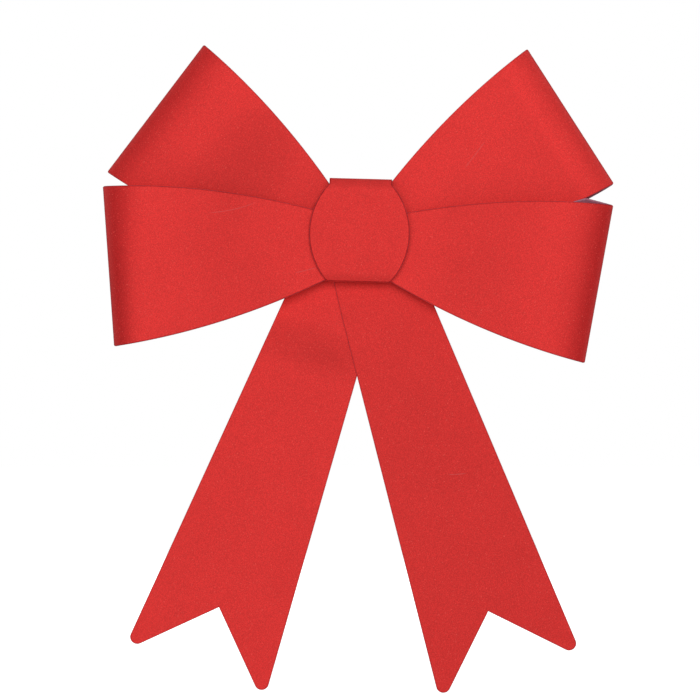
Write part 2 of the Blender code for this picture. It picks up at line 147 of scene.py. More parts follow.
# Where the straight side runs into the tip's rounding.
TAIL_EDGE_X = TAIL_TIP_HALF_SPREAD + TAIL_TIP_RADIUS * math.cos(TAIL_TAPER)
TAIL_EDGE_DOWN = TAIL_TIP_REACH - TAIL_TIP_RADIUS * math.sin(TAIL_TAPER)
TAIL_ROWS = 110
TAIL_COLUMNS = 90
TAIL_SETTLING_ROUNDS = 3
TAIL_SAG_START = 70.0 * MM
TAIL_DRAWN_IN_TO = 30.0 * MM
TAIL_WAVE = 0.5 * MM
TAIL_WAVE_LENGTH = 165.0 * MM
# Offset of the middle line, lean, and forward sweep of the tips. The right tail lies in
# front of the left one.
TAILS = {
    "left_tail": dict(offset=-2.6 * MM, lean=math.radians(20.3), sweep=1.2 * MM),
    "right_tail": dict(offset=2.6 * MM, lean=math.radians(-18.6), sweep=2.0 * MM),
}
TAIL_Y = {name: (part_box(name)[0].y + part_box(name)[1].y) / 2 for name in TAILS}

# Knot band.
BAND_TILT = math.radians(1.5)
BAND_CENTRE = Vector((0.25 * MM, 0.0, 6.4 * MM))
BAND_TOP = 23.5 * MM
BAND_CREASE = 20.8 * MM
BAND_BOTTOM = -23.1 * MM
BAND_HALF_CHORD = (BAND_CREASE - BAND_BOTTOM) / 2
BAND_MIDDLE = (BAND_CREASE + BAND_BOTTOM) / 2
BAND_HALF_WIDTH = 14.0 * MM
BAND_BULGE = 8.5 * MM
BAND_TOP_ROLL = 4.2 * MM
BAND_BEND_LINE = 0.35 * MM
BAND_CORNER = 2.0 * MM
BAND_BOTTOM_ROLL = 4.5 * MM
BAND_INNER_END = 18.6 * MM
BAND_OUTER_END = -16.0 * MM
BAND_STEP = 0.8 * MM
BAND_COLUMNS = 44
BAND_CORNER_STEPS = 12
BAND_ROLL_STEPS = 16
BAND_CROWN = 0.7 * MM

# Twist tie.
TIE_THICK = 1.1 * MM
TIE_HEIGHT = 4.0 * MM
TIE_SWEEP = math.radians(12.0)
TIE_LENGTH = 70.0 * MM
TIE_BARE_END = 1.2 * MM
TIE_BEND_HALF = 2.5 * MM
TIE_SEAM_X = 13.0 * MM
TIE_STEP = 0.5 * MM
TIE_WING_SHARE = 0.42
TIE_RIDGE_WIDTH = 0.5 * MM
TIE_ROUND_FROM = 1.6 * MM
TIE_SECTION_HEIGHTS = [h * MM for h in (0.0, 0.25, 0.45, 0.7, 1.0, 1.3, 1.6, 1.8, 1.93, 2.0)]
TIE_END_SHRINK = 0.9
TIE_MIDDLE_POINTS = 53
WIRE_RADIUS = 0.3 * MM
WIRE_STEPS = 20
SHARP_TIE = math.radians(45.0)

# Colours of the sheet, tie and steel.
VELVET_RED = (0.72, 0.04, 0.037, 1.0)
# Pale pile, for the painted sheen on the fold's crest and for real wear in the scratches.
VELVET_SHEEN_AND_WEAR = (0.56, 0.12, 0.12, 1.0)
VELVET_GLINT = (0.85, 0.13, 0.11, 1.0)
# Painted shade along cut edges and the band's bottom bend.
VELVET_EDGE_SHADE = (0.22, 0.004, 0.006, 1.0)
VELVET_SHEEN = (1.0, 0.62, 0.62, 1.0)
BACKING_PLUM = (0.235, 0.052, 0.085, 1.0)
BACKING_SPECK = (0.44, 0.21, 0.27, 1.0)
# Pale film, for real scuffs and for painted light along the backing's cut edges.
BACKING_WORN_AND_LIT = (0.52, 0.23, 0.31, 1.0)
EDGE_FILM = (0.30, 0.09, 0.15, 1.0)
EDGE_PILE = (0.42, 0.06, 0.08, 1.0)
TIE_GREEN = (0.022, 0.155, 0.052, 1.0)
TIE_SCUFF = (0.12, 0.28, 0.15, 1.0)
TIE_CORE_STEEL = (0.50, 0.50, 0.52, 1.0)
# Material name and colour of each steel part, and the axis its brush marks run along.
STEEL_PARTS = {
    "centre_rivet": ("rivet_plating", (0.62, 0.63, 0.65, 1.0), 1),
    "rivet_washer": ("washer_plating", (0.58, 0.58, 0.60, 1.0), 0),
    "band_staple": ("staple_plating", (0.60, 0.60, 0.62, 1.0), 0),
}

# The middle part of a noise's values, which holds most of them.
NOISE_LOW = 0.3
NOISE_HIGH = 0.7
# Angles that turn a noise's lattice away from every flat sheet.
NOISE_TURN = (0.5, 0.35, 0.6)

# Noise scales of the pile: single fibres, glinting tips, patches that break up the painted crest
# sheen, the painted edge shade and the scratches, clumps and clouds.
GRAIN_SCALE = 2400.0
GLINT_SCALE = 1900.0
PATCHY_SCALE = 1300.0
CLUMP_SCALE = 700.0
CLOUD_SCALE = 45.0
# How far each of them takes the brightness either way.
GRAIN_SHARE = 0.15
CLUMP_SHARE = 0.015
CLOUD_SHARE = 0.02
SCRATCH_SHARE = 0.45
SCRATCH_CORE = 0.08 * MM
SCRATCH_HALF_WIDTH = 0.28 * MM

# Painted shade and sheen: brightness of the pile against how far it faces away from the eye, as 1
# - cosine, dipping where it turns partly away and rising to a painted sheen near grazing.
ASLANT_SHADE_AND_SHEEN = [
    (0.0, 1.0), (0.002, 0.99), (0.007, 0.975), (0.0146, 0.95), (0.026, 0.93), (0.043, 0.91),
    (0.085, 0.89), (0.16, 0.92), (0.41, 1.06), (1.0, 1.2),
]
# Painted shade against how far the sheet has turned through its fold, as a share of a right angle:
# the fold darkens as it turns from the light.
FOLD_SHADE_BRIGHTNESS = [
    (0.0, 1.0), (0.04, 0.98), (0.075, 0.95), (0.109, 0.90), (0.146, 0.82), (0.188, 0.76),
    (0.264, 0.70), (0.394, 0.70), (0.6, 0.76), (1.0, 0.80),
]
# In the painted fold shade, green and blue fall off faster than red.
GREEN_POWER = 1.7
BLUE_POWER = 1.5
FOLD_SHADE = [
    (turn, (share, share**GREEN_POWER, share**BLUE_POWER)) for turn, share in FOLD_SHADE_BRIGHTNESS
]
# Share of painted sheen on the crest of the fold.
CREST_SHEEN = [(0.0, 0.0), (0.3, 0.0), (0.6, 0.22), (0.85, 0.5), (1.0, 0.6)]

# Faint hairline scratches in the pile, by piece: the place along and across the sheet,
# the angle, the length and the bow of each.
SCRATCHES = {
    "lower_left_loop": [
        (55 * MM, -21.4 * MM, math.radians(7), 24 * MM, -8.0),
        (25 * MM, 9 * MM, math.radians(8), 11 * MM, -3.0),
    ],
    "upper_right_loop": [(66 * MM, 6 * MM, math.radians(20), 17 * MM, 2.0)],
    "right_tail": [(112 * MM, 9 * MM, math.radians(75), 9 * MM, 5.0)],
}

# Ovals of painted light and shade, by piece: the place along and across the sheet, half the length
# and width, and the brightness in the middle. The upper left loop's is painted shade beside the
# lower left loop's edge, the upper right loop's a painted highlight where its fold tilts towards
# the light, and the left tail's painted shade over a soft dent.
LIGHT_AND_SHADE_PATCHES = {
    "upper_right_loop": [(102 * MM, 0.0, 7.5 * MM, 70 * MM, 1.09)],
    "upper_left_loop": [(62 * MM, 6 * MM, 24 * MM, 42 * MM, 0.875)],
    "left_tail": [
        (51 * MM, -3 * MM, 13 * MM, 38 * MM, 0.87),
        (52 * MM, 2 * MM, 6 * MM, 14 * MM, 0.95),
    ],
}

# Nap and painted light of each velvet piece: its brightness near the rivet and far from it, partly
# the nap's lie and partly painted light and shade for how brightly each piece and each end of it
# is lit, the distances at which those hold, how strongly shade is painted through the fold, and
# how strongly shade is painted along the cut edges.
NAP_AND_PAINTED_LIGHT = {
    "upper_left_loop": (0.98, 1.04, 40 * MM, 90 * MM, 0.7, 0.3),
    "upper_right_loop": (1.05, 1.04, 15 * MM, 60 * MM, 0.1, 0.3),
    "lower_left_loop": (1.03, 1.03, 30 * MM, 95 * MM, 1.0, 0.55),
    "lower_right_loop": (1.05, 1.04, 30 * MM, 95 * MM, 1.0, 0.45),
    "left_tail": (1.01, 0.995, 30 * MM, 90 * MM, 0.0, 0.3),
    "right_tail": (0.94, 0.91, 30 * MM, 90 * MM, 0.0, 0.3),
    "knot_band": (0.99, 0.99, 0.0, 20 * MM, 0.0, 0.8),
}

# Studio. The camera sees the surround at full strength, and the part is lit by this share.
WORLD_LIGHT = 0.20
FLOOR_GAP = 5.0 * MM
FLOOR_GLOW = 0.85
FLOOR_HALF_SIZE = 8.0
# Place, size and energy of each soft light.
LIGHTS = {
    "key": ((0.3, -2.5, 0.55), 1.2, 32.0),
    "fill": ((-0.6, -2.6, 0.2), 1.4, 16.5),
    "rear": ((-0.8, 2.4, 0.9), 1.4, 24.0),
}
CAMERA_DISTANCE = 4.0
CAMERA_SENSOR = 36.0
FRAME_WIDTH = 0.315
CAMERA_X = -4.05 * MM
CAMERA_Z = -47.25 * MM


def smooth_step(t):
    t = min(max(t, 0.0), 1.0)
    return t * t * (3.0 - 2.0 * t)


# ---------------------------------------------------------------- materials


class Graph:
    """A material's node tree, built by short calls."""

    def __init__(self, name):
        self.material = bpy.data.materials.new(name)
        self.material.use_nodes = True
        self.tree = self.material.node_tree
        self.shader = self.tree.nodes["Principled BSDF"]

    def plug(self, socket, value):
        if isinstance(value, bpy.types.NodeSocket):
            self.tree.links.new(value, socket)
        else:
            socket.default_value = value

    def add(self, kind, inputs=(), **settings):
        node = self.tree.nodes.new(kind)
        for key, value in settings.items():
            setattr(node, key, value)
        for key, value in dict(inputs).items():
            self.plug(node.inputs[key], value)
        return node

    def set(self, **inputs):
        for key, value in inputs.items():
            self.plug(self.shader.inputs[key.replace("_", " ")], value)

    def coords(self):
        return self.add("ShaderNodeTexCoord").outputs["Object"]

    def askew(self):
        """Object coordinates turned, so that no sheet lies along a noise's own lattice."""
        turned = {"Vector": self.coords(), "Rotation": NOISE_TURN}
        return self.add("ShaderNodeMapping", turned).outputs["Vector"]

    def attribute(self, name):
        return self.add("ShaderNodeAttribute", attribute_name=name).outputs["Fac"]

    def noise(self, scale, detail=2.0, roughness=0.5, vector=None):
        vector = vector or self.askew()
        node = self.add(
            "ShaderNodeTexNoise",
            {"Vector": vector, "Scale": scale, "Detail": detail, "Roughness": roughness},
        )
        return node.outputs["Fac"]

    def ramp(self, value, stops):
        """A value or colour ramp. Each stop is (position, value or RGB)."""
        node = self.add("ShaderNodeValToRGB", {"Fac": value})
        elements = node.color_ramp.elements
        while len(elements) < len(stops):
            elements.new(0.5)
        for element, (position, colour) in zip(elements, stops):
            element.position = position
            if isinstance(colour, (int, float)):
                colour = (colour, colour, colour)
            element.color = (*colour, 1.0)
        return node.outputs["Color"]

    def vary(self, noise, low, high):
        """A noise, made to go from low to high."""
        return self.map(noise, NOISE_LOW, NOISE_HIGH, low, high)

    def swing(self, noise, share):
        """A noise, made to go from 1 less the share to 1 plus the share."""
        return self.vary(noise, 1.0 - share, 1.0 + share)

    def map(self, value, low, high, to_low, to_high):
        node = self.add(
            "ShaderNodeMapRange",
            {"Value": value, 1: low, 2: high, 3: to_low, 4: to_high},
            interpolation_type="SMOOTHSTEP",
        )
        return node.outputs["Result"]

    def math(self, operation, a, b=0.0):
        node = self.add("ShaderNodeMath", {0: a, 1: b}, operation=operation)
        return node.outputs["Value"]

    def mix(self, share, a, b, blend="MIX"):
        node = self.add("ShaderNodeMix", data_type="RGBA", blend_type=blend)
        colours = [s for s in node.inputs if s.type == "RGBA"]
        self.plug(node.inputs["Factor"], share)
        self.plug(colours[0], a)
        self.plug(colours[1], b)
        return [s for s in node.outputs if s.type == "RGBA"][0]

    def scale(self, colour, share):
        """The colour times a value socket."""
        return self.mix(1.0, colour, self.grey(share), "MULTIPLY")

    def grey(self, value):
        node = self.add("ShaderNodeCombineColor", {0: value, 1: value, 2: value})
        return node.outputs["Color"]

    def bump(self, height, strength, distance):
        node = self.add(
            "ShaderNodeBump", {"Height": height, "Strength": strength, "Distance": distance}
        )
        return node.outputs["Normal"]


def scratch_mask(g, place_along, place_across, angle, length, bow):
    """1 on a thin, slightly bowed line in the sheet's own along and across, else 0."""
    along = g.math("SUBTRACT", g.attribute("along"), place_along)
    across = g.math("SUBTRACT", g.attribute("across"), place_across)
    run = g.math(
        "ADD",
        g.math("MULTIPLY", along, math.cos(angle)),
        g.math("MULTIPLY", across, math.sin(angle)),
    )
    off = g.math(
        "SUBTRACT",
        g.math("MULTIPLY", across, math.cos(angle)),
        g.math("MULTIPLY", along, math.sin(angle)),
    )
    bowed = g.math("SUBTRACT", off, g.math("MULTIPLY", g.math("MULTIPLY", run, run), bow))
    on_line = g.map(g.math("ABSOLUTE", bowed), SCRATCH_CORE, SCRATCH_HALF_WIDTH, 1.0, 0.0)
    in_length = g.map(g.math("ABSOLUTE", run), 0.3 * length, 0.5 * length, 1.0, 0.0)
    return g.math("MULTIPLY", on_line, in_length)


def light_and_shade_patch(g, along, across, half_length, half_width, share):
    """1 away from a soft-edged oval, going to share in its middle: painted shade where share is
    below 1 and painted light where it is above.
    """
    u = g.math("DIVIDE", g.math("SUBTRACT", g.attribute("along"), along), half_length)
    v = g.math("DIVIDE", g.math("SUBTRACT", g.attribute("across"), across), half_width)
    away = g.math("ADD", g.math("MULTIPLY", u, u), g.math("MULTIPLY", v, v))
    return g.map(away, 0.0, 1.0, share, 1.0)


def velvet_material(name, near, far, near_at, far_at, fold, edge_shade):
    """Flocked pile. Its brightness goes from near to far along the sheet, partly as the nap lies
    and partly as painted light and shade.
    """
    g = Graph(name + "_velvet")
    grain = g.noise(GRAIN_SCALE, 1.0, 0.6)
    clumps = g.noise(CLUMP_SCALE)
    clouds = g.noise(CLOUD_SCALE, 3.0, 0.55)
    glints = g.noise(GLINT_SCALE, 1.0)
    patchy = g.map(g.noise(PATCHY_SCALE), 0.35, 0.65, 0.6, 1.0)
    # Painted light and shade, with the nap's lie, from near to far along the sheet.
    nap_and_light = g.map(g.attribute("along"), near_at, far_at, near, far)
    tuft = g.map(grain, 0.25, 0.75, 1.0 - GRAIN_SHARE, 1.0 + GRAIN_SHARE)
    value = g.math("MULTIPLY", nap_and_light, tuft)
    value = g.math("MULTIPLY", value, g.swing(clumps, CLUMP_SHARE))
    value = g.math("MULTIPLY", value, g.swing(clouds, CLOUD_SHARE))
    # Painted light and shade in ovals.
    for patch in LIGHT_AND_SHADE_PATCHES.get(name, []):
        value = g.math("MULTIPLY", value, light_and_shade_patch(g, *patch))
    facing = g.add("ShaderNodeLayerWeight", {"Blend": 0.5}).outputs["Facing"]
    turn = g.attribute("turn")
    # Painted shade on faces turned partly from the eye, and painted sheen near grazing.
    colour = g.mix(1.0, VELVET_RED, g.ramp(facing, ASLANT_SHADE_AND_SHEEN), "MULTIPLY")
    # Painted shade through the fold, as strong as the piece's fold share.
    colour = g.mix(fold, colour, g.mix(1.0, colour, g.ramp(turn, FOLD_SHADE), "MULTIPLY"))
    colour = g.scale(colour, value)
    # Painted sheen on the crest of the fold, broken up in patches.
    crest_sheen = g.math("MULTIPLY", g.ramp(turn, CREST_SHEEN), patchy)
    colour = g.mix(crest_sheen, colour, VELVET_SHEEN_AND_WEAR)
    # Single fibre tips catch the light.
    colour = g.mix(g.map(glints, 0.66, 0.75, 0.0, 0.5), colour, VELVET_GLINT)
    # Painted shade: a dark line along every cut edge stands in for the thin shadows the edges cast
    # on the sheets beneath.
    edge_shade_mask = g.map(g.attribute("edge"), 0.2 * MM, 0.55 * MM, edge_shade, 0.0)
    colour = g.mix(g.math("MULTIPLY", edge_shade_mask, patchy), colour, VELVET_EDGE_SHADE)
    for scratch in SCRATCHES.get(name, []):
        mask = g.math("MULTIPLY", scratch_mask(g, *scratch), patchy)
        colour = g.mix(g.math("MULTIPLY", mask, SCRATCH_SHARE), colour, VELVET_SHEEN_AND_WEAR)
    g.set(Base_Color=colour, Roughness=g.vary(clumps, 0.82, 0.95))
    g.set(Sheen_Weight=0.04, Sheen_Roughness=0.45, Sheen_Tint=VELVET_SHEEN)
    g.set(Specular_IOR_Level=0.06)
    height = g.math("ADD", grain, g.math("MULTIPLY", clumps, 0.6))
    g.set(Normal=g.bump(height, 0.35, 0.12 * MM))
    return g.material


def backing_material():
    """Reverse of the sheet: dusky plum plastic film with paler specks."""
    g = Graph("sheet_backing")
    specks = g.noise(1100.0, 2.0, 0.6)
    cloud = g.noise(60.0, 3.0, 0.5)
    colour = g.scale(BACKING_PLUM, g.vary(cloud, 0.88, 1.1))
    colour = g.mix(g.map(specks, 0.55, 0.72, 0.0, 0.4), colour, BACKING_SPECK)
    # The film is scuffed pale beside its cut edges, and lightened further there as painted light,
    # so that edge strips seen in shade behind a front leaf look lit.
    worn_and_lit = g.map(g.attribute("edge"), 0.1 * MM, 0.8 * MM, 0.65, 0.0)
    colour = g.mix(worn_and_lit, colour, BACKING_WORN_AND_LIT)
    g.set(Base_Color=colour, Roughness=g.vary(cloud, 0.5, 0.68), Specular_IOR_Level=0.3)
    g.set(Normal=g.bump(specks, 0.25, 0.06 * MM))
    return g.material


def cut_edge_material():
    """The die-cut edge: greyish mauve film between thin layers of red pile."""
    g = Graph("sheet_cut_edge")
    fray = g.noise(1400.0, 3.0, 0.6)
    colour = g.mix(g.map(fray, 0.35, 0.65, 0.0, 1.0), EDGE_FILM, EDGE_PILE)
    g.set(Base_Color=colour, Roughness=g.vary(fray, 0.65, 0.85))
    g.set(Normal=g.bump(fray, 0.4, 0.08 * MM))
    return g.material


def steel_material(name, colour, brush_axis):
    """Plated steel with fine brush marks and darker patches."""
    g = Graph(name)
    stretch = [2200.0, 2200.0, 2200.0]
    stretch[brush_axis] = 180.0
    mapped = g.add("ShaderNodeMapping", {"Vector": g.coords(), "Scale": stretch})
    brush = g.noise(1.0, 4.0, 0.6, mapped.outputs["Vector"])
    patches = g.noise(500.0, 3.0, 0.5)
    tone = g.scale(colour, g.vary(patches, 0.78, 1.05))
    g.set(Base_Color=tone, Metallic=1.0, Roughness=g.vary(brush, 0.26, 0.48))
    g.set(Normal=g.bump(brush, 0.2, 0.02 * MM))
    return g.material


def tie_material():
    """Satin green plastic skin of the twist tie, ribbed across by its rollers."""
    g = Graph("tie_plastic_skin")
    ribs = g.add(
        "ShaderNodeTexWave",
        {"Vector": g.coords(), "Scale": 420.0, "Distortion": 1.2, "Detail": 1.0},
        bands_direction="X",
    ).outputs["Fac"]
    cloud = g.noise(160.0, 3.0, 0.5)
    scuffs = g.noise(900.0, 4.0, 0.7)
    colour = g.scale(TIE_GREEN, g.vary(cloud, 0.75, 1.2))
    colour = g.mix(g.map(scuffs, 0.62, 0.75, 0.0, 0.3), colour, TIE_SCUFF)
    g.set(Base_Color=colour, Roughness=g.vary(scuffs, 0.36, 0.58))
    g.set(Normal=g.bump(ribs, 0.18, 0.05 * MM))
    return g.material


# ---------------------------------------------------------------- meshes


def grid_faces(rows, columns, offset, flip):
    index = np.arange(rows * columns).reshape(rows, columns) + offset
    quads = np.stack(
        [index[:-1, :-1], index[1:, :-1], index[1:, 1:], index[:-1, 1:]], axis=-1
    ).reshape(-1, 4)
    return quads[:, ::-1] if flip else quads


def rim_ring(rows, columns):
    """Indices of a grid's boundary vertices, once round."""
    index = np.arange(rows * columns).reshape(rows, columns)
    return np.concatenate([index[:-1, 0], index[-1, :-1], index[1:, -1][::-1], index[0, 1:][::-1]])


def sheet_mesh(name, points, attributes):
    """A sheet from a grid of middle points. Its velvet side is along rows x columns."""
    rows, columns = points.shape[:2]
    down = np.gradient(points, axis=0)
    across = np.gradient(points, axis=1)
    normal = np.cross(down, across)
    normal /= np.linalg.norm(normal, axis=2, keepdims=True)
    outer = (points + normal * SHEET / 2).reshape(-1, 3)
    inner = (points - normal * SHEET / 2).reshape(-1, 3)
    ring = rim_ring(rows, columns)
    flat = points.reshape(-1, 3)
    before, after = flat[np.roll(ring, 1)], flat[np.roll(ring, -1)]
    outward = np.cross(after - before, normal.reshape(-1, 3)[ring])
    outward /= np.linalg.norm(outward, axis=1, keepdims=True)
    rim = flat[ring] + outward * EDGE_ROUND
    count = rows * columns
    verts = np.concatenate([outer, inner, rim])
    following = np.roll(ring, -1)
    rim_index = np.arange(len(ring)) + 2 * count
    rim_next = np.roll(rim_index, -1)
    upper = np.stack([ring, following, rim_next, rim_index], axis=1)[:, ::-1]
    lower = np.stack([rim_index, rim_next, following + count, ring + count], axis=1)[:, ::-1]
    faces = np.concatenate(
        [grid_faces(rows, columns, 0, False), grid_faces(rows, columns, count, True), upper, lower]
    )
    material = np.concatenate(
        [
            np.zeros((rows - 1) * (columns - 1), int),
            np.ones((rows - 1) * (columns - 1), int),
            np.full(2 * len(ring), 2),
        ]
    )
    mesh = bpy.data.meshes.new(name)
    mesh.from_pydata(verts.tolist(), [], faces.tolist())
    mesh.polygons.foreach_set("material_index", material.astype(np.int32))
    for key, values in attributes.items():
        values = values.reshape(-1)
        filled = np.concatenate([values, values, values[ring]]).astype(np.float32)
        mesh.attributes.new(key, "FLOAT", "POINT").data.foreach_set("value", filled)
    mesh.update()
    return mesh


def outward_sign(mesh):
    """+1 if the closed mesh's faces look outward, and -1 if they look inward."""
    shape = bmesh.new()
    shape.from_mesh(mesh)
    volume = shape.calc_volume(signed=True)
    shape.free()
    return 1 if volume > 0 else -1


def rod_along_y(radius, centre, length):
    shape = bmesh.new()
    bmesh.ops.create_cone(
        shape, cap_ends=True, segments=HOLE_STEPS, radius1=radius, radius2=radius, depth=length
    )
    bmesh.ops.rotate(shape, verts=shape.verts, matrix=Matrix.Rotation(math.pi / 2, 3, "X"))
    bmesh.ops.translate(shape, verts=shape.verts, vec=centre)
    mesh = bpy.data.meshes.new("rod")
    shape.to_mesh(mesh)
    shape.free()
    cutter = bpy.data.objects.new("rod", mesh)
    bpy.context.scene.collection.objects.link(cutter)
    return cutter


def punch(obj, holes):
    """Cuts round holes of (radius, centre, length) through the piece, along Y."""
    cutters = []
    for radius, centre, length in holes:
        cutter = rod_along_y(radius, centre, length)
        boolean = obj.modifiers.new("hole", "BOOLEAN")
        boolean.operation = "DIFFERENCE"
        boolean.solver = "EXACT"
        boolean.object = cutter
        cutters.append(cutter)
    graph = bpy.context.evaluated_depsgraph_get()
    mesh = bpy.data.meshes.new_from_object(
        obj.evaluated_get(graph), preserve_all_data_layers=True, depsgraph=graph
    )
    obj.modifiers.clear()
    obj.data = mesh
    for cutter in cutters:
        bpy.data.objects.remove(cutter, do_unlink=True)


def sheet_piece(mesh, materials, body, node, holes):
    """Puts a sheet in a CAD node's place. Its materials are velvet, backing and cut edge."""
    if outward_sign(mesh) < 0:
        mesh.flip_normals()
    obj = bpy.data.objects.new(node + "_sheet", mesh)
    bpy.context.scene.collection.objects.link(obj)
    for material in materials:
        mesh.materials.append(material)
    punch(obj, holes)
    obj.data.shade_smooth()
    obj.data.set_sharp_from_angle(angle=SHARP_SHEET)
    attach(obj, body)
    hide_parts(node)


# ---------------------------------------------------------------- loops


def petal_edges(loop, along):
    """Half the petal's width, and the offset of its middle line, at a distance out."""
    from_fold = loop["reach"] - along
    tapered = PETAL_HALF_WIDTH - loop["taper"] * from_fold - PETAL_CURVE * from_fold**2
    neck = smooth_step(along / loop["neck"])
    half_width = TONGUE_HALF_WIDTH + neck * (tapered - TONGUE_HALF_WIDTH)
    if along < 0.0:
        half_width *= math.sqrt(1.0 - TONGUE_ROUND * (along / TONGUE_END) ** 2)
    return half_width, neck * loop["offset"]


def leaf_line(level, depth_at_fold, fold_start):
    """(along, depth) from the tongue's end out to the start of the fold."""
    steps = math.ceil((fold_start + TONGUE_END) / LOOP_STEP)
    line = []
    for i in range(steps):
        along = -TONGUE_END + (fold_start + TONGUE_END) * i / steps
        share = (along - FLAT_REACH) / (fold_start - FLAT_REACH)
        line.append((along, level + smooth_step(share) * (depth_at_fold - level)))
    return line


def widened(from_fold, loop, side):
    """Distance from the fold, where the rounding grows wider towards the flare's side."""
    if "flare" not in loop:
        return from_fold
    beyond = (from_fold - loop["rounding"]) / ((FLARE_REACH - 1.0) * loop["rounding"])
    growth = loop["flare"] * ((1.0 + loop["flare_side"] * side) / 2.0) ** 2
    return from_fold * (1.0 + growth * (1.0 - smooth_step(beyond)))


def peek_height(from_fold, side, peek):
    """How far the back leaf stands proud of the front one, signed towards its side."""
    if from_fold < peek["peak_at"]:
        height = peek["height"] * (from_fold / peek["peak_at"]) ** peek["power"]
    else:
        past_peak = max(peek["end"] - from_fold, 0.0)
        height = peek["height"] * past_peak / (peek["end"] - peek["peak_at"])
    return peek["side"] * height * max(side * peek["side"], 0.0) ** 2


def corner_drop(from_fold):
    """How far the sheet's edge draws in where it runs over the fold."""
    short = max(FOLD_CORNER - from_fold, 0.0)
    return FOLD_CORNER - math.sqrt(FOLD_CORNER**2 - short**2)


def loop_line(loop, front, back):
    """(along, depth) out along the front leaf, round the fold and in along the back one."""
    fold_start = loop["reach"] - loop["rounding"]
    front_layer, back_layer = loop["layers"]
    out_line = leaf_line(FIRST_LEAF_Y + front_layer * LAYER, front, fold_start)
    in_line = leaf_line(FIRST_LEAF_Y + back_layer * LAYER, back, fold_start)[::-1]
    fold = []
    for i in range(FOLD_STEPS + 1):
        turn = math.pi * i / FOLD_STEPS
        along = fold_start + loop["rounding"] * math.sin(turn)
        fold.append((along, (front + back) / 2 - (back - front) / 2 * math.cos(turn)))
    middle = len(out_line) + FOLD_STEPS // 2
    return out_line + fold + in_line, middle


def fold_turn(loop, along, aspect):
    """How far the sheet has turned in its fold, as a share of a right angle."""
    into_fold = along - (loop["reach"] - loop["rounding"])
    share = min(max(into_fold / loop["rounding"], 0.0), 0.99999)
    return math.atan(aspect * share / math.sqrt(1.0 - share**2)) / (math.pi / 2)


def loop_grid(loop):
    front = FIRST_LEAF_Y + loop["front"]
    back = FIRST_LEAF_Y + loop["back"]
    line, middle = loop_line(loop, front, back)
    aspect = (back - front) / 2 / loop["rounding"]
    points = np.zeros((len(line), LOOP_COLUMNS + 1, 3))
    keys = ("along", "across", "edge", "turn")
    values = {key: np.zeros(points.shape[:2]) for key in keys}
    direction = loop["direction"]
    out = np.array([math.cos(direction), 0.0, math.sin(direction)])
    up = np.array([-math.sin(direction), 0.0, math.cos(direction)])
    for row, (line_along, depth) in enumerate(line):
        from_fold = loop["reach"] - line_along
        values["turn"][row] = fold_turn(loop, line_along, aspect)
        for column in range(LOOP_COLUMNS + 1):
            side = 2.0 * column / LOOP_COLUMNS - 1.0
            along = loop["reach"] - widened(from_fold, loop, side)
            half_width, offset = petal_edges(loop, along)
            outward = max(along, 0.0) / loop["reach"]
            shift = math.tan(loop.get("slant", 0.0)) * side * half_width * outward**2
            across = offset + side * half_width - side * corner_drop(from_fold)
            if "peek" in loop and row > middle:
                across += peek_height(from_fold, side, loop["peek"])
            points[row, column] = out * (along + shift) + up * across
            points[row, column, 1] += depth
            values["along"][row, column] = along
            values["across"][row, column] = across
            values["edge"][row, column] = (1.0 - abs(side)) * half_width
    return points, values


def build_loop(name, loop, materials):
    points, values = loop_grid(loop)
    sheet_piece(sheet_mesh(name + "_sheet", points, values), materials, name, name, [RIVET_HOLE])


# ---------------------------------------------------------------- tails


def tail_side(down):
    """Half the tail's width at a distance below the rivet, drawn in near the top."""
    drawn_in = TAIL_TOP * math.tan(TAIL_TAPER) * (1.0 - smooth_step(down / TAIL_DRAWN_IN_TO))
    above_tip = TAIL_EDGE_DOWN - max(down, 0.0)
    return TAIL_EDGE_X - above_tip * math.tan(TAIL_TAPER) - drawn_in


def tail_bottom(x):
    """How far down the tail reaches at a distance x from its middle line."""
    notch_depth = TAIL_TIP_REACH - TAIL_NOTCH_REACH
    slope = math.atan2(notch_depth, TAIL_TIP_HALF_SPREAD)
    angle = slope + math.asin(TAIL_TIP_RADIUS / math.hypot(TAIL_TIP_HALF_SPREAD, notch_depth))
    touch = TAIL_TIP_HALF_SPREAD - TAIL_TIP_RADIUS * math.sin(angle)
    if x < touch:
        return TAIL_NOTCH_REACH + x * math.tan(angle)
    reach = min(abs(x - TAIL_TIP_HALF_SPREAD), TAIL_TIP_RADIUS)
    return TAIL_TIP_REACH + math.sqrt(TAIL_TIP_RADIUS**2 - reach**2)


def tail_top(x, half_width):
    past = max(x - (half_width - TAIL_SHOULDER), 0.0)
    drop = TAIL_SHOULDER - math.sqrt(max(TAIL_SHOULDER**2 - past**2, 0.0))
    return -TAIL_TOP + drop


def tail_forward(reach, sweep):
    """How far forward the tail stands at a distance from the rivet.

    It depends on nothing but that and the sweep, so the tails nest when they swing.
    """
    free = smooth_step((reach - TAIL_SAG_START) / TAIL_SAG_START)
    swept = max(reach - TAIL_SAG_START, 0.0) / (TAIL_TIP_REACH - TAIL_SAG_START)
    return sweep * swept**2 - TAIL_WAVE * free * math.sin(reach / TAIL_WAVE_LENGTH * 2 * math.pi)


